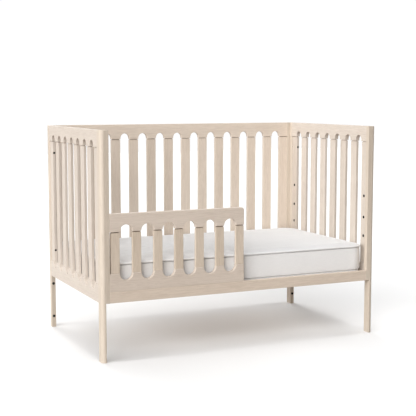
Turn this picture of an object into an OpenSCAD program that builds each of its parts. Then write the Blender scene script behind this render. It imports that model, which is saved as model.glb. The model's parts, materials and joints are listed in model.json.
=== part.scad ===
// Slatted baby crib set up as a toddler bed: two slatted ends on flat legs, a slatted back,
// a low front rail with a half-length guard rail, a height-adjustable mattress support and a
// piped mattress. X runs along the length, the open front faces -Y, and the floor is Z = 0.

/* [Overall] */
// Width of one slat, and of one gap, in the back and in the ends
module_w = 48; // [44:1:52]
// Number of gaps in the back
back_gaps = 13; // [9:1:15]
// Number of gaps in each end
end_gaps = 7; // [5:1:8]
// Height of the crib
crib_h = 996; // [940:1:1050]
// Height of the underside of every rail above the floor
rail_z = 258; // [245:1:275]

/* [Boards] */
// Thickness of legs and rails
board_t = 21; // [19:1:26]
// Thickness of the slats
slat_t = 13; // [11:1:15]
// Width of a leg
leg_w = 41; // [38:1:50]
// Radius of the rounded outer corner of a leg
leg_corner_r = 19; // [8:1:19]
// Width of the cleat inside each corner
cleat_w = 18; // [14:1:24]
// Solid strip of a top rail above its arches
top_strip = 45; // [40:1:60]
// Solid strip of a bottom rail below its arches
bottom_strip = 49; // [44:1:60]
// How far the rail teeth run past the spring line of the arches
tooth_past = 5; // [2:1:8]
// Open joint between the top rails' teeth and the slats
open_joint = 2.5; // [0.5:0.5:3]

/* [Front rail and guard rail] */
// Height of the low front rail
front_rail_h = 48; // [44:1:60]
// Length of the guard rail
guard_len = 638; // [560:1:700]
// Height of the guard rail
guard_h = 336; // [300:1:380]
// Number of gaps in the guard rail
guard_gaps = 6; // [4:1:7]
// Width of a guard rail slat
guard_slat_w = 40; // [36:1:44]
// Space between the corner and the first guard rail slat
guard_end_gap = 6; // [4:1:10]
// Solid strip of the guard rails beyond their arches
guard_strip = 48; // [44:1:56]
// Radius of the free top corner of the guard rail
guard_corner_r = 13; // [6:1:20]
// Open joint between the guard rail's upper teeth and its slats
guard_open_joint = 4; // [0.5:0.5:4]

/* [Mattress and its support] */
// Height of the second row of support inserts
row_2 = 465; // [450:1:480]
// Height of the third row of support inserts
row_3 = 556; // [540:1:575]
// Height of the highest row of support inserts
row_4 = 659; // [640:1:680]
// Space between each end and the mattress
mattress_end_gap = 3; // [3:1:20]
// Space between the back, or the front, and the mattress
mattress_side_gap = 12; // [10:1:30]
// Mattress thickness
mattress_t = 150; // [120:1:152]
// Radius of the mattress corners seen from above
mattress_corner_r = 65; // [30:1:80]
// Height of the slatted deck above the rails' underside
deck_rise = 20; // [19:1:22]

/* [Hidden] */
$fn = 64;
overlap = 1;

// Overall layout
gap_r = module_w / 2;
back_len = (2 * back_gaps + 1) * module_w;
end_len = (2 * end_gaps + 1) * module_w;
half_x = back_len / 2 + cleat_w + board_t;
half_y = end_len / 2 + leg_w;
end_x = half_x - board_t / 2;
back_y = half_y - board_t / 2;
inner_x = half_x - board_t;
inner_y = half_y - board_t;

// Heights of the rails and slats
top_rail_h = top_strip + gap_r + tooth_past;
bottom_rail_h = bottom_strip + gap_r + tooth_past;
slat_z0 = rail_z + bottom_rail_h;
slat_z1 = crib_h - top_rail_h;

// Tenons on the slat ends, in mortises 1 mm deeper than they are long
tenon_l = 14;
tenon_w = module_w - 8;
tenon_t = 6;
mortise_l = tenon_l + 1;

// Guard rail
front_rail_z1 = rail_z + front_rail_h;
guard_x0 = -back_len / 2;
guard_x1 = guard_x0 + guard_len;
guard_pitch = (guard_len - guard_end_gap - guard_slat_w) / guard_gaps;
guard_gap_r = (guard_pitch - guard_slat_w) / 2;
guard_tooth_past = 1.5;
guard_rail_h = guard_strip + guard_gap_r + guard_tooth_past;
guard_z1 = front_rail_z1 + guard_h;
guard_tenon_w = guard_slat_w - 6;
guard_bolt_slats = [0, floor(guard_gaps / 2), guard_gaps];
guard_bolt_reach = 40;

// Threaded inserts and bolts
bolt_r = 3;
bolt_clear_r = 3.4;
insert_bore_r = 3.1;
insert_r = 6.5;
insert_l = 14;
head_r = 5.2;
head_h = 5;
head_fit = 0.2;
head_play = 0.5;
head_sink = 0.4;
socket_r = 2.5;
socket_h = 3;
bore_spare = 2;
leg_bolt_rows = [55, 218];
panel_bolt_rows = [slat_z0 + 55, slat_z1 - 57];
panel_bolt_reach = 26;
stile_y = end_len / 2 - module_w / 2;
stile_edge_y = end_len / 2 - module_w;

// Dowels between the rails and the corners
dowel_r = 5;
dowel_in_rail = 16;
dowel_in_leg = 12;
front_dowel_rows = [rail_z + 13, front_rail_z1 - 13];
bottom_dowel_rows = [rail_z + 14, rail_z + 42];
top_dowel_rows = [crib_h - 48, crib_h - 16];

// Mattress support: the lowest inserts are in the bottom rails, the others in the stiles
deck_z = rail_z + deck_rise;
support_row = deck_z - 10;
stile_rows = [row_2, row_3, row_4];
support_insert_r = 7;
support_insert_l = 10;
slat_face_x = end_x - slat_t / 2;
frame_half_x = inner_x - 16;
frame_half_y = inner_y - 12;
frame_w = 25;
frame_h = 10;
deck_slats = 12;
deck_slat_w = 60;
deck_slat_t = 6;
deck_half_y = frame_half_y - 3;
deck_half_x = frame_half_x - 10;
hanger_t = 2.5;
hanger_x = inner_x - 1 - hanger_t;
hanger_w = 44;
hanger_tab_w = 12;
hanger_slot_r = 3.3;
hanger_z0 = deck_z - deck_slat_t - frame_h - hanger_t;
hanger_z1 = support_row + 9;
support_head_r = 7;
support_head_h = 3.5;
running_gap = 0.5;

// Mattress and its piping
mattress_l = 2 * (inner_x - mattress_end_gap);
mattress_w = 2 * (inner_y - mattress_side_gap);
piping_h = 5;
piping_proud = 2;
piping_inset = 8;

wood = [0.86, 0.79, 0.70];
steel = [0.55, 0.56, 0.58];
black = [0.08, 0.08, 0.08];
beech = [0.80, 0.68, 0.50];
white_fabric = [0.93, 0.93, 0.92];
grey_fabric = [0.80, 0.80, 0.79];

function side_name(side) = side < 0 ? "left" : "right";
function face_name(face) = face < 0 ? "front" : "back";
SIDES = [-1, 1];
CORNERS = [for (face = SIDES) for (side = SIDES) [side, face]];
function corner_name(c, piece) = str(face_name(c[1]), "_", side_name(c[0]), "_", piece);
function end_name(side, piece) = str(side_name(side), "_end_", piece);

// ---- Panels, drawn flat: x along the panel, y up, and the thickness centred on z = 0 ----

// Lays a flat panel drawing into the plane of the back, or of the front when face is -1
module on_long_side(face) {
    translate([0, face * back_y, 0]) rotate([90, 0, 0]) children();
}

// Lays a flat panel drawing into the plane of an end, with its x along Y
module on_end(side) {
    translate([side * end_x, 0, 0]) rotate([90, 0, 90]) children();
}

// Rail with round-ended notches: y = 0 is its plain edge, the teeth stand at y = h
module notched_rail(len, h, strip, gaps, first_gap, pitch, r) {
    linear_extrude(board_t, center = true) difference() {
        square([len, h]);
        for (i = [0:gaps - 1]) translate([first_gap + i * pitch, strip + r]) {
            circle(r);
            translate([-r, 0]) square([2 * r, h]);
        }
    }
}

// Row of mortises cut from the teeth down, one at each slat centre
module mortises(count, first, pitch, h, w) {
    for (i = [0:count - 1])
        translate([first + i * pitch - w / 2, h - mortise_l, -tenon_t / 2])
            cube([w, mortise_l + overlap, tenon_t]);
}

// Slat between two rails, with a tenon on each end and its upper shoulder short of the teeth
module slat(w, z0, z1, w_tenon, joint) {
    translate([-w / 2, z0, -slat_t / 2]) cube([w, z1 - joint - z0, slat_t]);
    translate([-w_tenon / 2, z0 - tenon_l, -tenon_t / 2])
        cube([w_tenon, z1 - z0 + 2 * tenon_l, tenon_t]);
}

// Notched rail with its mortises, centred on x = 0, for the back or an end
module panel_rail(len, gaps, h, strip) {
    translate([-len / 2, 0, 0]) difference() {
        notched_rail(len, h, strip, gaps, 1.5 * module_w, 2 * module_w, gap_r);
        mortises(gaps + 1, module_w / 2, 2 * module_w, h, tenon_w);
    }
}

// Dowels at one end of a rail: x_end is the rail's end, dir points out of the rail
module end_dowels(x_end, dir, beyond, rows) {
    start = dir > 0 ? x_end - dowel_in_rail : x_end - beyond;
    for (row = rows) translate([start, row, 0]) rotate([0, 90, 0])
        cylinder(r = dowel_r, h = dowel_in_rail + beyond);
}

module both_end_dowels(len, beyond, rows) {
    for (dir = SIDES) end_dowels(dir * len / 2, dir, beyond, rows);
}

module long_rail_dowels(rows) { both_end_dowels(back_len, cleat_w + dowel_in_leg, rows); }
module end_rail_dowels(rows) { both_end_dowels(end_len, dowel_in_leg, rows); }

// ---- Corners ----

// Cylinder along Y from y0 outwards to y1 on the given face, at one place in an end
module along_y(x, z, face, y0, y1, r) {
    translate([x, face * y0, z]) rotate([-90 * face, 0, 0]) cylinder(r = r, h = y1 - y0);
}

module leg_outline() {
    intersection() {
        translate([inner_x, end_len / 2]) square([board_t, leg_w]);
        union() {
            translate([half_x - leg_corner_r, half_y - leg_corner_r]) circle(leg_corner_r);
            translate([inner_x, end_len / 2]) square([board_t, leg_w - leg_corner_r]);
            translate([inner_x, end_len / 2]) square([board_t - leg_corner_r, leg_w]);
        }
    }
}

// Leg from the floor to the top, drilled from its inner edge for four threaded inserts
module leg(side, face) {
    inner_edge = end_len / 2;
    color(wood) difference() {
        linear_extrude(crib_h)
            mirror([side < 0 ? 1 : 0, 0]) mirror([0, face < 0 ? 1 : 0]) leg_outline();
        for (row = concat(leg_bolt_rows, panel_bolt_rows)) {
            along_y(side * end_x, row, face, inner_edge - overlap, inner_edge + insert_l, insert_r);
            along_y(side * end_x, row, face, inner_edge, inner_edge + panel_bolt_reach + bore_spare,
                bolt_clear_r);
        }
        for (rows = [bottom_dowel_rows, top_dowel_rows]) on_end(side) end_rail_dowels(rows);
        on_long_side(face) long_rail_dowels(top_dowel_rows);
        on_long_side(face) long_rail_dowels(face < 0 ? front_dowel_rows : bottom_dowel_rows);
    }
}

// Square cleat inside the corner, from the rails' underside to the top
module cleat(side, face) {
    x0 = side < 0 ? -inner_x : inner_x - cleat_w;
    y0 = face < 0 ? -half_y : inner_y;
    color(wood) difference() {
        translate([x0, y0, rail_z]) cube([cleat_w, board_t, crib_h - rail_z]);
        if (face > 0) on_long_side(face) long_rail_dowels(top_dowel_rows);
        on_long_side(face) long_rail_dowels(face < 0 ? front_dowel_rows : bottom_dowel_rows);
    }
}

// ---- Ends ----

module end_top_rail(side) {
    color(wood) difference() {
        on_end(side) translate([0, crib_h, 0]) mirror([0, 1, 0])
            panel_rail(end_len, end_gaps, top_rail_h, top_strip);
        on_end(side) end_rail_dowels(top_dowel_rows);
    }
}

module end_bottom_rail(side) {
    color(wood) difference() {
        on_end(side) translate([0, rail_z, 0])
            panel_rail(end_len, end_gaps, bottom_rail_h, bottom_strip);
        on_end(side) end_rail_dowels(bottom_dowel_rows);
        at_stiles() along_x(inner_x - overlap, inner_x + support_insert_l, support_row,
            support_insert_r);
    }
}

// Stile beside a leg: the outermost slat of an end, drilled for the bolts and the support
module end_stile(side, face) {
    color(wood) difference() {
        on_end(side) translate([face * stile_y, 0, 0])
            slat(module_w, slat_z0, slat_z1, tenon_w, open_joint);
        for (row = panel_bolt_rows) {
            along_y(side * end_x, row, face, stile_edge_y - overlap,
                end_len / 2 + overlap, bolt_clear_r);
            along_y(side * end_x, row, face, stile_edge_y - overlap,
                stile_edge_y + head_sink + head_h, head_r + head_fit);
        }
        at_stiles() for (row = stile_rows)
            along_x(slat_face_x - overlap, slat_face_x + support_insert_l, row, support_insert_r);
    }
}

module end_slats(side) {
    color(wood) on_end(side)
        for (i = [1:end_gaps - 1])
            translate([-stile_y + i * 2 * module_w, 0, 0])
                slat(module_w, slat_z0, slat_z1, tenon_w, open_joint);
}

// ---- Back ----

module back_top_rail() {
    color(wood) difference() {
        on_long_side(1) translate([0, crib_h, 0]) mirror([0, 1, 0])
            panel_rail(back_len, back_gaps, top_rail_h, top_strip);
        on_long_side(1) long_rail_dowels(top_dowel_rows);
    }
}

module back_bottom_rail() {
    color(wood) difference() {
        on_long_side(1) translate([0, rail_z, 0])
            panel_rail(back_len, back_gaps, bottom_rail_h, bottom_strip);
        on_long_side(1) long_rail_dowels(bottom_dowel_rows);
    }
}

module back_slat(i) {
    color(wood) on_long_side(1)
        translate([-back_len / 2 + module_w / 2 + i * 2 * module_w, 0, 0])
            slat(module_w, slat_z0, slat_z1, tenon_w, open_joint);
}

// ---- Front rail and guard rail ----

function guard_slat_x(i) = guard_x1 - guard_slat_w / 2 - (guard_gaps - i) * guard_pitch;

// Bores up through the front rail and into the guard rail, at three of its slats
module guard_bores(z0, z1, r) {
    for (i = guard_bolt_slats) translate([guard_slat_x(i), -back_y, z0])
        cylinder(r = r, h = z1 - z0);
}

module front_rail() {
    color(wood) difference() {
        translate([-back_len / 2, -half_y, rail_z]) cube([back_len, board_t, front_rail_h]);
        on_long_side(-1) long_rail_dowels(front_dowel_rows);
        guard_bores(rail_z - overlap, front_rail_z1 + overlap, bolt_clear_r);
        guard_bores(rail_z - overlap, rail_z + head_sink + head_h, head_r + head_play);
    }
}

// Guard rail beam, with its plain edge at y = 0
module guard_beam() {
    first = guard_slat_x(0) + guard_pitch / 2;
    difference() {
        translate([guard_x0, 0, 0])
            notched_rail(guard_len, guard_rail_h, guard_strip, guard_gaps,
                first - guard_x0, guard_pitch, guard_gap_r);
        mortises(guard_gaps + 1, guard_slat_x(0), guard_pitch, guard_rail_h, guard_tenon_w);
    }
}

// Square with one quarter circle left out, which rounds a corner when it is cut away
module corner_cut(r) {
    difference() {
        translate([-r, -r]) square(r + overlap);
        translate([-r, -r]) circle(r);
    }
}

module guard_top_rail() {
    color(wood) difference() {
        on_long_side(-1) translate([0, guard_z1, 0]) mirror([0, 1, 0]) guard_beam();
        on_long_side(-1) translate([guard_x1, guard_z1, 0])
            linear_extrude(board_t + 2 * overlap, center = true) corner_cut(guard_corner_r);
    }
}

module guard_bottom_rail() {
    color(wood) difference() {
        on_long_side(-1) translate([0, front_rail_z1, 0]) guard_beam();
        guard_bores(front_rail_z1 - overlap, front_rail_z1 + insert_l, insert_r);
        guard_bores(front_rail_z1, front_rail_z1 + guard_bolt_reach + bore_spare, bolt_clear_r);
    }
}

module guard_slat(i) {
    color(wood) on_long_side(-1) translate([guard_slat_x(i), 0, 0])
        slat(guard_slat_w, front_rail_z1 + guard_rail_h, guard_z1 - guard_rail_h, guard_tenon_w,
            guard_open_joint);
}

// ---- Mattress support ----

module support_long_rail(face) {
    y0 = face < 0 ? -frame_half_y : frame_half_y - frame_w;
    color(steel) translate([-frame_half_x, y0, hanger_z0 + hanger_t])
        cube([2 * frame_half_x, frame_w, frame_h]);
}

module support_short_rail(side) {
    x0 = side < 0 ? -frame_half_x : frame_half_x - frame_w;
    inner = frame_half_y - frame_w;
    color(steel) translate([x0, -inner, hanger_z0 + hanger_t]) cube([frame_w, 2 * inner, frame_h]);
}

module support_slats() {
    pitch = (2 * deck_half_x - deck_slat_w) / (deck_slats - 1);
    color(beech) for (i = [0:deck_slats - 1])
        translate([-deck_half_x + i * pitch, -deck_half_y, deck_z - deck_slat_t])
            cube([deck_slat_w, 2 * deck_half_y, deck_slat_t]);
}

// Fork-shaped plate with a slot that drops over the support bolt, and two welded feet
module hanger() {
    height = hanger_z1 - hanger_z0;
    foot_l = hanger_x + hanger_t - (frame_half_x - frame_w);
    difference() {
        translate([hanger_x, -hanger_w / 2, hanger_z0]) cube([hanger_t, hanger_w, height]);
        translate([hanger_x - overlap, 0, support_row]) rotate([0, 90, 0])
            cylinder(r = hanger_slot_r, h = hanger_t + 2 * overlap);
        translate([hanger_x - overlap, -hanger_slot_r, hanger_z0 - overlap])
            cube([hanger_t + 2 * overlap, 2 * hanger_slot_r, support_row - hanger_z0 + overlap]);
    }
    for (tab = SIDES) translate([hanger_x + hanger_t - foot_l,
            tab * (hanger_w - hanger_tab_w) / 2 - hanger_tab_w / 2, hanger_z0])
        cube([foot_l, hanger_tab_w, hanger_t]);
}

// Puts a piece drawn at the right end, facing outwards, at all four stiles
module at_stiles() {
    for (c = CORNERS) mirror([c[0] < 0 ? 1 : 0, 0, 0]) translate([0, c[1] * stile_y, 0]) children();
}

// Cylinder along X at the right end, from x0 outwards to x1
module along_x(x0, x1, z, r) {
    translate([x0, 0, z]) rotate([0, 90, 0]) cylinder(r = r, h = x1 - x0);
}

module support_hangers() {
    color(steel) at_stiles() hanger();
}

// Threaded insert whose open face is at x0
module support_insert(x0, row) {
    difference() {
        along_x(x0, x0 + support_insert_l, row, support_insert_r);
        along_x(x0 - overlap, x0 + support_insert_l + overlap, row, bolt_r);
    }
}

module support_inserts() {
    color(black) at_stiles() {
        support_insert(inner_x, support_row);
        for (row = stile_rows) support_insert(slat_face_x, row);
    }
}

// Bolt in the lowest insert, whose head keeps the hanger on
module support_bolts() {
    plate_in = hanger_x - running_gap;
    color(black) at_stiles() {
        along_x(plate_in - support_head_h, plate_in, support_row, support_head_r);
        along_x(plate_in, inner_x + support_insert_l - bore_spare, support_row, bolt_r);
    }
}

// ---- Bolts, inserts and dowels of the frame ----

module panel_bolts() {
    color(black) for (c = CORNERS) for (row = panel_bolt_rows) difference() {
        union() {
            along_y(c[0] * end_x, row, c[1], stile_edge_y + head_sink,
                stile_edge_y + head_sink + head_h, head_r);
            along_y(c[0] * end_x, row, c[1], stile_edge_y + head_h,
                end_len / 2 + panel_bolt_reach, bolt_r);
        }
        along_y(c[0] * end_x, row, c[1], stile_edge_y, stile_edge_y + head_sink + socket_h,
            socket_r, $fn = 6);
    }
}

module leg_inserts() {
    edge = end_len / 2;
    color(black) for (c = CORNERS) for (row = concat(leg_bolt_rows, panel_bolt_rows)) difference() {
        along_y(c[0] * end_x, row, c[1], edge, edge + insert_l, insert_r);
        along_y(c[0] * end_x, row, c[1], edge - overlap, edge + insert_l + overlap, bolt_r);
    }
}

module rail_dowels() {
    color(beech) {
        on_long_side(-1) long_rail_dowels(front_dowel_rows);
        on_long_side(1) long_rail_dowels(bottom_dowel_rows);
        on_long_side(1) long_rail_dowels(top_dowel_rows);
        for (side = SIDES) on_end(side) end_rail_dowels(bottom_dowel_rows);
        for (side = SIDES) on_end(side) end_rail_dowels(top_dowel_rows);
    }
}

module guard_bolts() {
    color(black) {
        guard_bores(rail_z + head_sink, rail_z + head_sink + head_h, head_r);
        guard_bores(rail_z + head_h, front_rail_z1 + guard_bolt_reach, bolt_r);
    }
}

module guard_inserts() {
    color(black) difference() {
        guard_bores(front_rail_z1, front_rail_z1 + insert_l, insert_r);
        guard_bores(front_rail_z1 - overlap, front_rail_z1 + insert_l + overlap, insert_bore_r);
    }
}

// ---- Mattress ----

module mattress_outline(grow) {
    x = mattress_l / 2 - mattress_corner_r;
    y = mattress_w / 2 - mattress_corner_r;
    for (sx = SIDES) for (sy = SIDES) translate([sx * x, sy * y]) circle(mattress_corner_r + grow);
    square([mattress_l + 2 * grow, 2 * y], center = true);
    square([2 * x, mattress_w + 2 * grow], center = true);
}

module mattress() {
    color(white_fabric) translate([0, 0, deck_z]) linear_extrude(mattress_t) mattress_outline(0);
}

// Piping round the top and the bottom edge of the mattress
module mattress_piping() {
    color(grey_fabric)
        for (z = [deck_z + piping_inset, deck_z + mattress_t - piping_inset - piping_h])
            translate([0, 0, z]) linear_extrude(piping_h) difference() {
                mattress_outline(piping_proud);
                mattress_outline(0);
            }
}

for (c = CORNERS) {
    leg(c[0], c[1]);
    cleat(c[0], c[1]);
}
for (s = SIDES) {
    end_top_rail(s);
    end_bottom_rail(s);
    end_stile(s, -1);
    end_stile(s, 1);
    end_slats(s);
    support_short_rail(s);
    support_long_rail(s);
}
for (i = [0:back_gaps])
    back_slat(i);
for (i = [0:guard_gaps])
    guard_slat(i);
back_top_rail();
back_bottom_rail();
front_rail();
guard_top_rail();
guard_bottom_rail();
support_slats();
support_hangers();
support_bolts();
support_inserts();
panel_bolts();
leg_inserts();
rail_dowels();
guard_bolts();
guard_inserts();
mattress();
mattress_piping();
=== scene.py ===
"""A slatted baby crib set up as a toddler bed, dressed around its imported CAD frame.

Wood pieces are eased copies of the CAD boards, with grain that runs along each board. The mattress
is a crowned, piped form. Everything is in metres in the row frame, and places come from the frame.
"""

import functools
import json
import math

import bmesh
import bpy
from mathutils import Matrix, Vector, noise
from mathutils.bvhtree import BVHTree


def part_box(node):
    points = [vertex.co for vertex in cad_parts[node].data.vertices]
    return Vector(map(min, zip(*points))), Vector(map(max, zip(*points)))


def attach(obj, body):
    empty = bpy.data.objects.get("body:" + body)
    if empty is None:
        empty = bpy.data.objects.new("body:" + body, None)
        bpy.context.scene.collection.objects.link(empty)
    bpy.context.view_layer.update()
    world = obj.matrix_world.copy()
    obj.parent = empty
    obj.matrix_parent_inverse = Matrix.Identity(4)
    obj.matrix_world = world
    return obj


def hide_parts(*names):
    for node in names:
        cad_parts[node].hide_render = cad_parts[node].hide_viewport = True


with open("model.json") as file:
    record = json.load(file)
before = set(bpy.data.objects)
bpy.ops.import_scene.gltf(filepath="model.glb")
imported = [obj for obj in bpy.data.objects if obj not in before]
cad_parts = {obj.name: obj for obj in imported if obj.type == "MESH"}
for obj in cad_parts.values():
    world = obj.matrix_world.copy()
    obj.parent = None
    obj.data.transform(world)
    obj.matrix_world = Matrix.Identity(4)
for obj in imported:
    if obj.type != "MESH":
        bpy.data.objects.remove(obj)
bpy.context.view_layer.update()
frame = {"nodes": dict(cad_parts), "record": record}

MM = 0.001
NODES = frame["nodes"]
BODIES = frame["record"]["behaviour"]["bodies"]
BODY_OF = {node: body for body, members in BODIES.items() for node in members}


# ---- Node helpers ----


class Shader:
    """A material with a Principled shader, and short calls that add and join its nodes."""

    def __init__(self, name, roughness=0.5, metallic=0.0, specular=0.5):
        self.material = bpy.data.materials.new(name)
        self.material.use_nodes = True
        self.tree = self.material.node_tree
        self.shader = self.tree.nodes["Principled BSDF"]
        self.shader.inputs["Roughness"].default_value = roughness
        self.shader.inputs["Metallic"].default_value = metallic
        self.shader.inputs["Specular IOR Level"].default_value = specular

    def add(self, kind, **settings):
        node = self.tree.nodes.new(kind)
        for key, value in settings.items():
            setattr(node, key, value)
        return node

    def put(self, socket, value):
        """Joins an output to a socket, or sets the socket to a plain value."""
        if isinstance(value, bpy.types.NodeSocket):
            self.tree.links.new(value, socket)
        else:
            socket.default_value = value

    def math(self, operation, a, b=0.0, clamp=False):
        node = self.add("ShaderNodeMath", operation=operation, use_clamp=clamp)
        self.put(node.inputs[0], a)
        self.put(node.inputs[1], b)
        return node.outputs[0]

    def scaled(self, vector, scale, location=(0, 0, 0)):
        node = self.add("ShaderNodeMapping")
        self.put(node.inputs["Vector"], vector)
        self.put(node.inputs["Scale"], scale)
        self.put(node.inputs["Location"], location)
        return node.outputs[0]

    def noise(self, vector, scale, detail=2.0, roughness=0.5, distortion=0.0):
        node = self.add("ShaderNodeTexNoise")
        self.put(node.inputs["Vector"], vector)
        for key, value in (("Scale", scale), ("Detail", detail), ("Roughness", roughness),
                           ("Distortion", distortion)):
            self.put(node.inputs[key], value)
        return node.outputs["Fac"]

    def remap(self, value, from_low, from_high, to_low=0.0, to_high=1.0, smooth=False):
        node = self.add("ShaderNodeMapRange")
        if smooth:
            node.interpolation_type = "SMOOTHSTEP"
        for key, number in (("Value", value), ("From Min", from_low), ("From Max", from_high),
                            ("To Min", to_low), ("To Max", to_high)):
            self.put(node.inputs[key], number)
        return node.outputs[0]

    def mix(self, factor, a, b, blend="MIX"):
        node = self.add("ShaderNodeMix", data_type="RGBA", blend_type=blend)
        self.put(node.inputs["Factor"], factor)
        for socket, value in ((node.inputs[6], a), (node.inputs[7], b)):
            self.put(socket, (*value, 1.0) if isinstance(value, tuple) else value)
        return node.outputs[2]

    def bump(self, height, distance, strength=1.0, normal=None):
        node = self.add("ShaderNodeBump")
        self.put(node.inputs["Height"], height)
        self.put(node.inputs["Distance"], distance)
        self.put(node.inputs["Strength"], strength)
        if normal is not None:
            self.put(node.inputs["Normal"], normal)
        return node.outputs[0]

    def position(self):
        return self.add("ShaderNodeTexCoord").outputs["Object"]

    def finish(self, color, normal=None, roughness=None):
        self.put(self.shader.inputs["Base Color"], color)
        if normal is not None:
            self.put(self.shader.inputs["Normal"], normal)
        if roughness is not None:
            self.put(self.shader.inputs["Roughness"], roughness)
        return self.material


# ---- Wood ----

# Light, middle and dark wood, and its rubbed edges
PALE_TONES = ((0.675, 0.583, 0.500), (0.615, 0.526, 0.446), (0.500, 0.415, 0.340),
              (0.700, 0.612, 0.530))
BEECH_TONES = ((0.62, 0.46, 0.28), (0.54, 0.38, 0.21), (0.42, 0.28, 0.14), (0.66, 0.50, 0.32))
# Colour casts of the boards: batch to batch tone, with painted light that lifts the back panel
# and painted shade that darkens the legs. The tenons in the open joints are bare wood, darkened
# further by painted shade in the joints.
BATCHES = {
    "end": ("end_wood", (0.99, 1.02, 1.05)),
    # Lifted as painted light: it stands in for more light on the back slats
    "back": ("back_wood_painted_light", (1.14, 1.14, 1.13)),
    "guard_slat": ("slat_wood", (1.04, 1.03, 0.99)),
    "guard": ("guard_wood", (1.05, 1.055, 1.065)),
    "front": ("front_wood", (1.07, 1.055, 1.03)),
    # Lowered as painted shade: it takes light off the legs and cleats
    "leg": ("leg_wood_painted_shade", (0.97, 0.98, 0.96)),
    # Bare tenon wood, darkened much further as painted shade inside the open joints
    "tenon": ("tenon_bare_with_painted_shade", (0.55, 0.49, 0.44)),
}
BOARD_PITCH = 0.096


def wood_material(name, grain, tones):
    """Wood whose grain runs along one axis: 0 for X, 1 for Y, 2 for Z. The tones are its light,
    middle and dark colours, and the colour of its rubbed edges."""
    light, mid, dark, worn = tones
    s = Shader(name, specular=0.35)
    where = s.position()
    split = s.add("ShaderNodeSeparateXYZ")
    s.put(split.inputs[0], where)

    # Each board takes its own stretch of grain and its own tone
    cross = 0 if grain == 1 else 1
    cell = s.math("FLOOR", s.math("DIVIDE", split.outputs[cross], BOARD_PITCH))
    own = s.math("MULTIPLY", s.add("ShaderNodeObjectInfo").outputs["Random"], 97.0)
    board = s.math("ADD", cell, own)
    pick = s.add("ShaderNodeTexWhiteNoise", noise_dimensions="1D")
    s.put(pick.inputs["W"], s.math("FLOOR", s.math("MULTIPLY", board, 7.0)) if grain == 2 else board)
    shift = s.add("ShaderNodeVectorMath", operation="SCALE")
    s.put(shift.inputs[0], pick.outputs["Color"])
    s.put(shift.inputs["Scale"], 9.0)
    moved = s.add("ShaderNodeVectorMath", operation="ADD")
    s.put(moved.inputs[0], where)
    s.put(moved.inputs[1], shift.outputs[0])
    place = moved.outputs[0]

    def stretched(along):
        scale = [1.0, 1.0, 1.0]
        scale[grain] = along
        return s.scaled(place, tuple(scale))

    broad = s.noise(stretched(0.12), 14.0, 2.0)
    rings = s.noise(stretched(0.05), 75.0, 4.0, 0.62, 0.35)
    fibre = s.noise(stretched(0.018), 620.0, 3.0, 0.7)
    pores = s.noise(stretched(0.05), 900.0, 1.0)

    # Growth rings: bands of the ring noise, bent by itself into long flames
    bands = s.math("SINE", s.math("MULTIPLY", rings, 46.0))
    band = s.remap(bands, -1.0, 1.0, 0.0, 1.0, smooth=True)
    tone = s.math("ADD", s.math("MULTIPLY", broad, 0.55), s.math("MULTIPLY", band, 0.22))
    tone = s.math("ADD", tone, s.math("MULTIPLY", fibre, 0.40))
    tone = s.remap(tone, 0.30, 0.86)
    color = s.mix(s.remap(tone, 0.0, 0.6), light, mid)
    color = s.mix(s.remap(tone, 0.55, 1.15, 0.0, 0.8), color, dark)
    pore = s.remap(pores, 0.66, 0.74, 0.0, 0.30)
    color = s.mix(pore, color, dark)

    # Board to board tone, and edges rubbed paler
    tint = s.remap(pick.outputs["Value"], 0.0, 1.0, -0.05, 0.05)
    bright = s.add("ShaderNodeBrightContrast")
    s.put(bright.inputs["Color"], color)
    s.put(bright.inputs["Bright"], s.math("MULTIPLY", tint, 0.5))
    ease = s.add("ShaderNodeAttribute", attribute_name="ease")
    rub = s.math("MULTIPLY", ease.outputs["Fac"], s.remap(broad, 0.35, 0.65, 0.15, 0.45))
    color = s.mix(rub, bright.outputs[0], worn)

    height = s.math("ADD", s.math("MULTIPLY", fibre, 0.6), s.math("MULTIPLY", band, 0.25))
    height = s.math("SUBTRACT", height, s.math("MULTIPLY", pore, 1.5))
    normal = s.bump(height, 0.15 * MM, 0.5)
    return s.finish(color, normal, s.remap(fibre, 0.3, 0.7, 0.46, 0.60))


@functools.cache
def washed_wood(batch, axis):
    """The pale wood in the cast of a batch, with its grain along an axis."""
    name, cast = BATCHES[batch]
    tones = [tuple(c * k for c, k in zip(tone, cast)) for tone in PALE_TONES]
    return wood_material(f"{name}_grain_{'xyz'[axis]}", axis, tones)


# ---- Metal and fabric ----


def metal_material(name, color, roughness, specular=0.5):
    """Coated steel: a fine orange-peel bump, and a slight mottle in colour and gloss."""
    s = Shader(name, roughness, specular=specular)
    where = s.position()
    peel = s.noise(where, 700.0, 2.0)
    mottle = s.noise(where, 60.0, 3.0)
    pale = tuple(c * 1.3 for c in color)
    return s.finish(s.mix(s.remap(mottle, 0.35, 0.65), color, pale), s.bump(peel, 0.05 * MM, 0.4),
                    s.remap(mottle, 0.3, 0.7, roughness - 0.06, roughness + 0.06))


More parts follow.
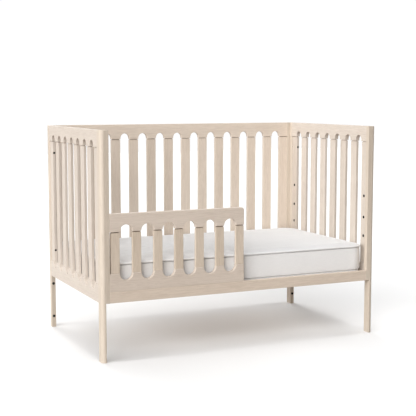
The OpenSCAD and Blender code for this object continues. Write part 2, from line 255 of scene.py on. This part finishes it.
def fabric_material(name, white, thread):
    """White knitted cover: rows of small stitches, faint slubs and a soft sheen."""
    s = Shader(name, 0.85, specular=0.25)
    s.shader.inputs["Sheen Weight"].default_value = 0.25
    s.shader.inputs["Sheen Roughness"].default_value = 0.5
    where = s.position()
    split = s.add("ShaderNodeSeparateXYZ")
    s.put(split.inputs[0], where)
    turn = 2 * math.pi / thread
    across = s.math("SINE", s.math("MULTIPLY", split.outputs[0], turn))
    depth = s.math("ADD", split.outputs[1], split.outputs[2])
    along = s.math("SINE", s.math("MULTIPLY", depth, turn * 0.5))
    stitch = s.math("MULTIPLY", across, along)
    slub = s.noise(s.scaled(where, (1.0, 6.0, 6.0)), 55.0, 3.0)
    cloud = s.noise(where, 7.0, 2.0)
    fuzz = s.noise(where, 1500.0, 2.0)
    tone = s.math("ADD", s.math("MULTIPLY", cloud, 0.5), s.math("MULTIPLY", slub, 0.5))
    shade = tuple(0.94 * c for c in white)
    color = s.mix(s.remap(tone, 0.35, 0.70), white, shade)
    color = s.mix(s.remap(stitch, -1.0, -0.2, 0.16, 0.0), color, shade)
    height = s.math("ADD", s.math("MULTIPLY", stitch, 0.5), fuzz)
    return s.finish(color, s.bump(height, 0.12 * MM, 0.45))


BEECH = wood_material("beech_grain_y", 1, BEECH_TONES)
BLACK = metal_material("black_oxide", (0.004, 0.004, 0.0045), 0.6, 0.12)
GREY_STEEL = metal_material("grey_powder_coat", (0.22, 0.225, 0.235), 0.5)
# The top and the side are one white knit: the top is painted darker as painted shade, the side paler
# as painted light
TOP_COVER_PAINTED_SHADE = fabric_material("top_knit_painted_shade", (0.715, 0.711, 0.712), 1.1 * MM)
SIDE_COVER_PAINTED_LIGHT = fabric_material("side_knit_painted_light", (0.880, 0.872, 0.866), 1.1 * MM)
WELT = fabric_material("welt_tape", (0.800, 0.796, 0.795), 0.8 * MM)


def set_material(obj, material):
    obj.data.materials.clear()
    obj.data.materials.append(material)


# ---- Eased boards ----

EASE = 1.2 * MM
FRONT_EASE = 2.0 * MM
STILE_EASE = 1.0 * MM
EASE_SEGMENTS = 3
SMALLEST_RIM = 13 * MM
SHARP_ANGLE = math.radians(35)
SHADED_FLAT_ANGLE = math.radians(38)
TENON_HALF = 3.2 * MM


def sharp_rims(bm):
    """Convex sharp edges, without the small rims of holes and pins."""
    sharp = {e for e in bm.edges if e.is_manifold and e.is_convex
             and e.calc_face_angle(0.0) > SHARP_ANGLE}
    kept, seen = [], set()
    for start in sharp:
        if start in seen:
            continue
        group, stack = [], [start]
        seen.add(start)
        while stack:
            edge = stack.pop()
            group.append(edge)
            for v in edge.verts:
                for other in v.link_edges:
                    if other in sharp and other not in seen:
                        seen.add(other)
                        stack.append(other)
        points = [v.co for e in group for v in e.verts]
        size = max(max(p[i] for p in points) - min(p[i] for p in points) for i in range(3))
        if size > SMALLEST_RIM:
            kept += group
    return kept


def eased(node, radius, material):
    """Copy of a CAD piece with its long edges rounded, which stands for the CAD node."""
    bm = bmesh.new()
    bm.from_mesh(NODES[node].data)
    layer = bm.faces.layers.float.new("ease")
    bmesh.ops.remove_doubles(bm, verts=bm.verts, dist=0.02 * MM)
    bmesh.ops.dissolve_limit(bm, angle_limit=math.radians(0.5), verts=bm.verts, edges=bm.edges)
    made = bmesh.ops.bevel(bm, geom=sharp_rims(bm), offset=radius, offset_type="OFFSET",
                           segments=EASE_SEGMENTS, profile=0.5, affect="EDGES",
                           clamp_overlap=False)
    for face in made["faces"]:
        face[layer] = 1.0
    for face in bm.faces:
        face.smooth = True
    for edge in bm.edges:
        edge.smooth = edge.calc_face_angle(0.0) < SHADED_FLAT_ANGLE
    mesh = bpy.data.meshes.new(node + "_eased")
    bm.to_mesh(mesh)
    bm.free()
    piece = bpy.data.objects.new(node + "_eased", mesh)
    bpy.context.scene.collection.objects.link(piece)
    set_material(piece, material)
    weighted = piece.modifiers.new("flat_faces", "WEIGHTED_NORMAL")
    weighted.keep_sharp = True
    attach(piece, BODY_OF[node])
    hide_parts(node)
    return piece


def edge_radius(node):
    """Radius of a board's edges: softer on the guard rail's and the front's own rails."""
    if "stile" in node:
        return STILE_EASE
    if "slat" not in node and ("guard" in node or node == "front_rail"):
        return FRONT_EASE
    return EASE


def grain_axis(node):
    """The axis a board runs along, which is its longest side, or Z for an end's group of slats."""
    if node.endswith("_slats"):
        return 2
    low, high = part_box(node)
    size = high - low
    return max(range(3), key=lambda i: size[i])


def batch_of(node):
    """The batch a board is cut from; on the back panel and the legs its cast also carries painted
    light and painted shade.
    """
    if "leg" in node or "cleat" in node:
        return "leg"
    if "_end_" in node:
        return "end"
    return next(key for key in ("back", "guard_slat", "guard", "front") if node.startswith(key))


def tenons_bare_with_painted_shade(piece, node):
    """Bare wood, darkened by painted shade, on the tenons and shoulders of a slat or a stile, which
    lie inside its joints.
    """
    low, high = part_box(node)
    axis = min(range(3), key=lambda i: (high - low)[i])
    middle = (low + high)[axis] / 2
    # The faces inside the joints take the dark tenon wood: bare wood and painted shade
    piece.data.materials.append(washed_wood("tenon", 2))
    for face in piece.data.polygons:
        spread = max(abs(piece.data.vertices[i].co[axis] - middle) for i in face.vertices)
        if spread < TENON_HALF or abs(face.normal.z) > 0.9:
            face.material_index = 1


def dress_wood():
    """Eased boards for the pale wood, and plain materials for the beech and the steel pieces."""
    for slot in frame["record"]["subparts"]:
        node = slot["node"]
        if slot["material_slot"] == "pale_wood":
            piece = eased(node, edge_radius(node), washed_wood(batch_of(node), grain_axis(node)))
            if "slat" in node or "stile" in node:
                tenons_bare_with_painted_shade(piece, node)
        elif slot["material_slot"] == "beech":
            set_material(NODES[node], BEECH)
        elif slot["material_slot"] == "support_steel":
            set_material(NODES[node], GREY_STEEL)
        elif slot["material_slot"] in ("black_bolt", "black_insert"):
            set_material(NODES[node], BLACK)


# ---- Mattress ----

PIPING_LOW, PIPING_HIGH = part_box("mattress_piping")
MATTRESS_LOW, MATTRESS_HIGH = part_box("mattress")
RAIL_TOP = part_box("front_rail")[1].z
HALF_L = (MATTRESS_HIGH.x - MATTRESS_LOW.x) / 2
HALF_W = (MATTRESS_HIGH.y - MATTRESS_LOW.y) / 2
CORNER_R = 65 * MM
CORNER_TURNS = 12
COVER_STEP = 9 * MM

PIPING_R = 4.4 * MM
PIPING_INSET = 3.4 * MM
PIPING_STEP = 6 * MM
PIPING_SIDES = 12
SEAM_TOP = PIPING_HIGH.z - 0.5 * MM
SEAM_BOTTOM = PIPING_LOW.z + 2.0 * MM

SIDE_LOW, SIDE_HIGH = SEAM_BOTTOM + 3.5 * MM, SEAM_TOP - 8.0 * MM
SIDE_RINGS = 18
SIDE_INSET = 8.5 * MM
SIDE_BULGE = 7.5 * MM
RAIL_PRESS = 8.0 * MM
SIDE_RIPPLE = 0.8 * MM
# Insets and heights from the top seam, in mm: the side tucks in under the piping there, which
# leaves a narrow dark groove
SEAM_TUCK = ((4.2, -7.0), (6.5, -6.3), (11.0, -5.8), (12.0, -3.0))
# The top panel's rises, in mm: how high, and the insets they start and end at. They make a shallow
# valley behind the piping, and then the crown.
TOP_RISES = ((2.6, 7, 13), (-1.2, 13, 24), (9.0, 16, 75), (3.5, 70, 330))

GATHER_HEIGHT = 1.6 * MM
SAG_HEIGHT = 1.5 * MM
CREASE_HEIGHT = 6.0 * MM
FINE_CREASE_HEIGHT = 3.6 * MM
CREASE_TURN = math.radians(26)

VOXEL = 11 * MM
SIM_FRAMES = 20
SIM_CAP = 6 * MM
SIM_PRESSURE = 1.2
SIM_SLACK = -0.012
SIM_SHARE_SIDE = 0.12
SIM_SHARE_TOP = 0.30
SIM_SHARE_LEFT = 0.55


def outline(inset, step):
    """Points round the mattress, seen from above, each with its outward direction."""
    radius = max(CORNER_R - inset, 0.0)
    shrink = CORNER_R + max(inset - CORNER_R, 0.0)
    flat = (HALF_L - shrink, HALF_W - shrink)
    counts = (int(2 * (HALF_L - CORNER_R) / step), int(2 * (HALF_W - CORNER_R) / step))
    centres = [Vector((sx * flat[0], sy * flat[1])) for sx, sy in ((1, 1), (-1, 1), (-1, -1), (1, -1))]
    points = []
    for quarter in range(4):
        centre, following = centres[quarter], centres[(quarter + 1) % 4]
        for k in range(CORNER_TURNS + 1):
            angle = (quarter + k / CORNER_TURNS) * math.pi / 2
            out = Vector((math.cos(angle), math.sin(angle)))
            points.append((centre + out * radius, out))
        steps = counts[quarter % 2]
        for k in range(1, steps):
            points.append((centre.lerp(following, k / steps) + out * radius, out))
    return points


def smooth_step(low, high, value):
    """0 at low and 1 at high, which may lie either way round, with a smooth rise between them."""
    t = min(1.0, max(0.0, (value - low) / (high - low)))
    return t * t * (3 - 2 * t)


def waves(x, y, layer):
    """Smooth noise over the mattress, from about -0.5 to 0.5. Each layer has waves of its own."""
    return noise.noise(Vector((x, y, layer)))


def wrinkle(p, inset):
    """Height of the soft creases of the cover above a point of the top. The cover gathers along
    the seam, sags a little everywhere, and is slackest and most creased at the left."""
    along = p.x * math.cos(CREASE_TURN) + p.y * math.sin(CREASE_TURN)
    across = p.y * math.cos(CREASE_TURN) - p.x * math.sin(CREASE_TURN)
    at_seam = math.exp(-inset / (45 * MM)) * smooth_step(6 * MM, 16 * MM, inset)
    inner = smooth_step(14 * MM, 60 * MM, inset)
    slack = (0.25 + 0.75 * smooth_step(0.25, -0.50, p.x)) * inner
    slackest = slack * smooth_step(0.0, -0.40, p.x)
    gather = GATHER_HEIGHT * waves(p.x * 22, p.y * 22, 3.1) * at_seam
    crease = CREASE_HEIGHT * (abs(waves(along * 2.7, across * 17, 0.7)) - 0.25) * slack
    fine = FINE_CREASE_HEIGHT * waves(along * 4.0, across * 27, 5.2) * slackest
    sag = SAG_HEIGHT * waves(p.x * 3.1, p.y * 3.7, 9.4) * inner
    return gather + crease + fine + sag


def top_height(inset):
    """Height of the top panel above its seam."""
    return sum(rise * MM * smooth_step(start * MM, end * MM, inset) for rise, start, end in TOP_RISES)


def side_inset(z):
    """How far inside the widest outline the side lies at a height. It bulges between its seams,
    and it is pressed in below the front rail's top, which leaves a dark line along the rail."""
    t = (z - SIDE_LOW) / (SIDE_HIGH - SIDE_LOW)
    bulge = math.sin(0.5 * math.pi * min(1.0, 2 * t)) ** 0.4 - 0.25 * smooth_step(0.5, 1.0, t)
    pressed = RAIL_PRESS * smooth_step(RAIL_TOP + 4.5 * MM, RAIL_TOP - 2.5 * MM, z)
    return min(SIDE_INSET, SIDE_INSET - SIDE_BULGE * bulge + pressed)


def mattress_profile():
    """Rings from the middle of the base to the middle of the top: (inset, height, is on the side)."""
    base = MATTRESS_LOW.z
    rings = [(i * MM, base, False) for i in (360, 280, 200, 140, 90, 50, 25)]
    rings += [(14 * MM, base + 0.6 * MM, False), (9 * MM, base + 3 * MM, False)]
    # Side rings lie closest near the seams and at the front rail's top, where the side bends most
    spread = [0.5 - 0.5 * math.cos(math.pi * k / SIDE_RINGS) for k in range(SIDE_RINGS + 1)]
    heights = [SIDE_LOW + t * (SIDE_HIGH - SIDE_LOW) for t in spread]
    heights += [RAIL_TOP + step * MM for step in (-6, -4, -2.5, -1, 0.5, 2, 3.5, 5, 8)]
    rings += [(side_inset(z), z, True) for z in sorted(heights)]
    rings += [(inset * MM, SEAM_TOP + rise * MM, True) for inset, rise in SEAM_TUCK]
    rings.append((8.0 * MM, SEAM_TOP + 1.0 * MM, False))
    insets = [9, 11, 13, 15.5, 18.5, 22, 26, 31, 37, 44] + list(range(52, 362, 10))
    rings += [(i * MM, SEAM_TOP + 1.5 * MM + top_height(i * MM), False) for i in insets]
    return rings


def loft(rings):
    """Closed bmesh through the rings, with 1 on the faces of the side panel as their material."""
    bm = bmesh.new()
    loops = [[bm.verts.new((p.x, p.y, z)) for p, _ in outline(inset, COVER_STEP)]
             for inset, z, _ in rings]
    for (a, b), (_, _, side) in zip(zip(loops, loops[1:]), rings[1:]):
        for i in range(len(a)):
            j = (i + 1) % len(a)
            bm.faces.new((a[i], a[j], b[j], b[i])).material_index = int(side)
    bm.faces.new(list(reversed(loops[0])))
    bm.faces.new(loops[-1])
    bmesh.ops.remove_doubles(bm, verts=bm.verts, dist=0.05 * MM)
    bmesh.ops.recalc_face_normals(bm, faces=bm.faces)
    return bm


def link_mesh(bm, name):
    """A smooth-shaded object from a bmesh, which is freed."""
    for face in bm.faces:
        face.smooth = True
    mesh = bpy.data.meshes.new(name)
    bm.to_mesh(mesh)
    bm.free()
    piece = bpy.data.objects.new(name, mesh)
    bpy.context.scene.collection.objects.link(piece)
    return piece


def simulate_cover():
    """Cloth simulation of the slightly loose cover on an even copy of the mattress, held at its
    seams and its base. Returns a tree of its faces at rest, and how far each of its points moves."""
    rest = link_mesh(loft(mattress_profile()), "sim_cover")
    remesh = rest.modifiers.new("even", "REMESH")
    remesh.mode = "VOXEL"
    remesh.voxel_size = VOXEL
    bpy.context.view_layer.objects.active = rest
    rest.select_set(True)
    bpy.ops.object.modifier_apply(modifier="even")
    points = [v.co.copy() for v in rest.data.vertices]
    held = rest.vertex_groups.new(name="held")
    held.add([i for i, p in enumerate(points)
              if p.z < SEAM_BOTTOM + 8 * MM or abs(p.z - SEAM_TOP + 2 * MM) < 6 * MM], 1.0, "REPLACE")
    cloth = rest.modifiers.new("cloth", "CLOTH")
    settings = cloth.settings
    settings.quality = 6
    settings.mass = 0.25
    settings.tension_stiffness = settings.compression_stiffness = 20
    settings.shear_stiffness = 12
    settings.bending_stiffness = 1.2
    settings.use_pressure = True
    settings.uniform_pressure_force = SIM_PRESSURE
    settings.shrink_min = settings.shrink_max = SIM_SLACK
    settings.vertex_group_mass = "held"
    settings.effector_weights.gravity = 0.0
    cloth.point_cache.frame_start, cloth.point_cache.frame_end = 1, SIM_FRAMES
    scene = bpy.context.scene
    for step in range(1, SIM_FRAMES + 1):
        scene.frame_set(step)
    moved = rest.evaluated_get(bpy.context.evaluated_depsgraph_get()).data
    moves = []
    for before, after in zip(points, moved.vertices):
        move = after.co - before
        size = move.length
        moves.append(move * (SIM_CAP * math.tanh(size / SIM_CAP) / size) if size > 0 else move)
    faces = [tuple(f.vertices) for f in rest.data.polygons]
    bpy.data.objects.remove(rest)
    scene.frame_set(1)
    return BVHTree.FromPolygons(points, faces), points, faces, moves


def simulated_move(sim, p, inset):
    """The share that a point takes of the simulated move of the cover nearest to it."""
    tree, points, faces, moves = sim
    spot, _, face, _ = tree.find_nearest(p)
    weights = [1 / (1e-6 + (points[k] - spot).length) for k in faces[face]]
    move = sum((moves[k] * w for k, w in zip(faces[face], weights)), Vector()) / sum(weights)
    if inset < 12 * MM:
        return move * SIM_SHARE_SIDE
    return move * (SIM_SHARE_TOP + SIM_SHARE_LEFT * smooth_step(0.15, -0.45, p.x))


def build_mattress():
    """The padded mattress under its cover."""
    bm = loft(mattress_profile())
    sim = simulate_cover()
    for v in bm.verts:
        p = v.co
        inset = min(HALF_L - abs(p.x), HALF_W - abs(p.y))
        if sim and p.z > SEAM_BOTTOM + 10 * MM:
            v.co = p + simulated_move(sim, p, inset)
        if p.z > SEAM_TOP + 1 * MM:
            v.co.z += wrinkle(p, inset)
        elif SEAM_BOTTOM + 15 * MM < p.z < SEAM_TOP - 8 * MM:
            ripple = SIDE_RIPPLE * waves(p.x * 8, p.y * 8, p.z * 10)
            v.co += Vector((p.x, p.y, 0)).normalized() * ripple
    piece = link_mesh(bm, "mattress_cover")
    piece.data.materials.append(TOP_COVER_PAINTED_SHADE)
    piece.data.materials.append(SIDE_COVER_PAINTED_LIGHT)
    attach(piece, "mattress")
    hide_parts("mattress")


def build_piping(name, z):
    """A round welt sewn into the seam, with a slight unevenness where the stitches pull it in."""
    bm = bmesh.new()
    rings = []
    for p, out in outline(PIPING_INSET, PIPING_STEP):
        r = PIPING_R * (1 + 0.07 * waves(p.x * 60, p.y * 60, z * 40))
        middle = z + 0.5 * MM * waves(p.x * 7, p.y * 7, z * 9 + 2)
        ring = []
        for k in range(PIPING_SIDES):
            angle = 2 * math.pi * k / PIPING_SIDES
            flat = p + out * (r * math.cos(angle))
            ring.append(bm.verts.new((flat.x, flat.y, middle + r * math.sin(angle))))
        rings.append(ring)
    for i, a in enumerate(rings):
        b = rings[(i + 1) % len(rings)]
        for k in range(PIPING_SIDES):
            m = (k + 1) % PIPING_SIDES
            bm.faces.new((a[k], b[k], b[m], a[m]))
    bmesh.ops.recalc_face_normals(bm, faces=bm.faces)
    piece = link_mesh(bm, name)
    set_material(piece, WELT)
    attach(piece, "mattress")
    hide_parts("mattress_piping")


def dress_mattress():
    build_mattress()
    build_piping("piping_top", SEAM_TOP)
    build_piping("piping_bottom", SEAM_BOTTOM)


# ---- Floor, light and camera ----

FLOOR_SIZE = 30.0
DOME_R = 45.0
BACKDROP_GLOW = 1.02
# The lit wall of the room stands in the direction the camera looks. Its light fades between two
# heights at its foot and two at its top, and between two cosines to its sides.
BACKDROP_SIDE = (0.42, 0.905, 0.0)
BACKDROP_FOOT = (-0.25, -0.10)
BACKDROP_TOP = (0.15, 0.35)
BACKDROP_EDGE = (0.6, 0.8)
GROUND_GLOW = 0.40
GROUND_TINT = (1.0, 0.84, 0.70, 1.0)
WHITE = (1.0, 1.0, 1.0, 1.0)
# The place and lens that the photo's perspective gives: metres, degrees and mm
CAMERA_PLACE = (-2.034, -4.375, 1.132)
CAMERA_YAW = 24.90
CAMERA_PITCH = 6.32
CAMERA_LENS = 86.52


def build_floor():
    """A matt floor that shows the shadows, and throws no light of its own back at the crib."""
    bpy.ops.mesh.primitive_plane_add(size=FLOOR_SIZE, location=(0, 0, 0))
    floor = bpy.context.object
    floor.name = "studio_floor"
    floor.visible_diffuse = False
    s = Shader("floor_paint", 0.9, specular=0.1)
    cloud = s.noise(s.position(), 0.6, 2.0)
    set_material(floor, s.finish(s.mix(cloud, (0.945, 0.945, 0.945), (0.955, 0.955, 0.955))))


def build_backdrop():
    """A white dome far behind everything. Only the camera sees it, so it lights nothing."""
    bpy.ops.mesh.primitive_uv_sphere_add(segments=48, ring_count=24, radius=DOME_R,
                                         location=(0, 0, 0))
    dome = bpy.context.object
    dome.name = "studio_backdrop"
    dome.visible_diffuse = dome.visible_glossy = dome.visible_transmission = False
    dome.visible_volume_scatter = dome.visible_shadow = False
    material = bpy.data.materials.new("backdrop_white")
    material.use_nodes = True
    tree = material.node_tree
    tree.nodes.clear()
    glow = tree.nodes.new("ShaderNodeEmission")
    glow.inputs["Color"].default_value = WHITE
    glow.inputs["Strength"].default_value = BACKDROP_GLOW
    output = tree.nodes.new("ShaderNodeOutputMaterial")
    tree.links.new(glow.outputs[0], output.inputs["Surface"])
    set_material(dome, material)


def sun_light(name, azimuth, elevation, strength, spread=40):
    """A far soft light, with its angles in degrees. Azimuth turns from the front to the left, and
    a white board facing the light looks as bright as the strength says."""
    data = bpy.data.lights.new(name, "SUN")
    data.angle = math.radians(spread)
    data.energy = math.pi * strength
    lamp = bpy.data.objects.new(name, data)
    bpy.context.scene.collection.objects.link(lamp)
    turn, rise = math.radians(azimuth), math.radians(elevation)
    source = Vector((-math.sin(turn) * math.cos(rise), -math.cos(turn) * math.cos(rise),
                     math.sin(rise)))
    lamp.rotation_euler = (-source).to_track_quat("-Z", "Y").to_euler()


def build_world():
    """Light from a white wall behind the crib, and a dim warm glow from below the horizon."""
    world = bpy.data.worlds.new("studio")
    world.use_nodes = True
    tree = world.node_tree

    def ramp(value, low, high, first, last):
        node = tree.nodes.new("ShaderNodeMapRange")
        for socket, end in zip(("From Min", "From Max", "To Min", "To Max"), (low, high, first, last)):
            node.inputs[socket].default_value = end
        tree.links.new(value, node.inputs["Value"])
        return node.outputs[0]

    def join(operation, a, b):
        node = tree.nodes.new("ShaderNodeMath")
        node.operation = operation
        tree.links.new(a, node.inputs[0])
        tree.links.new(b, node.inputs[1])
        return node.outputs[0]

    where = tree.nodes.new("ShaderNodeTexCoord")
    split = tree.nodes.new("ShaderNodeSeparateXYZ")
    tree.links.new(where.outputs["Generated"], split.inputs[0])
    facing = tree.nodes.new("ShaderNodeVectorMath")
    facing.operation = "DOT_PRODUCT"
    facing.inputs[1].default_value = BACKDROP_SIDE
    tree.links.new(where.outputs["Generated"], facing.inputs[0])
    height = split.outputs["Z"]
    above = ramp(height, *BACKDROP_FOOT, 0.0, 1.0)
    wall = join("MULTIPLY", ramp(height, *BACKDROP_TOP, BACKDROP_GLOW, 0.0), above)
    backdrop = join("MULTIPLY", wall, ramp(facing.outputs["Value"], *BACKDROP_EDGE, 0.0, 1.0))
    ground = ramp(height, *BACKDROP_FOOT, GROUND_GLOW, 0.0)
    background = tree.nodes["Background"]
    tint = tree.nodes.new("ShaderNodeMix")
    tint.data_type = "RGBA"
    tint.inputs[6].default_value = GROUND_TINT
    tint.inputs[7].default_value = WHITE
    tree.links.new(above, tint.inputs["Factor"])
    tree.links.new(tint.outputs[2], background.inputs["Color"])
    tree.links.new(join("ADD", backdrop, ground), background.inputs["Strength"])
    bpy.context.scene.world = world


def build_light():
    build_world()
    sun_light("overhead", azimuth=0, elevation=90, strength=0.17, spread=5)
    sun_light("left", azimuth=80, elevation=15, strength=0.63)
    sun_light("left_low", azimuth=50, elevation=15, strength=0.44)
    sun_light("left_high", azimuth=50, elevation=40, strength=0.14)
    sun_light("front_left", azimuth=25, elevation=35, strength=0.34)
    sun_light("back", azimuth=180, elevation=25, strength=0.45)
    sun_light("back_high", azimuth=180, elevation=60, strength=0.18)
    sun_light("right", azimuth=-90, elevation=25, strength=0.33)


def build_camera():
    data = bpy.data.cameras.new("camera")
    data.lens = CAMERA_LENS
    data.sensor_width = 36.0
    data.clip_end = 100.0
    camera = bpy.data.objects.new("camera", data)
    bpy.context.scene.collection.objects.link(camera)
    camera.location = CAMERA_PLACE
    camera.rotation_euler = (math.radians(90 - CAMERA_PITCH), 0, math.radians(-CAMERA_YAW))
    bpy.context.scene.camera = camera


scene = bpy.context.scene
scene.view_settings.view_transform = "Standard"
scene.view_settings.look = "None"
build_camera()
dress_wood()
dress_mattress()
build_floor()
build_backdrop()
build_light()
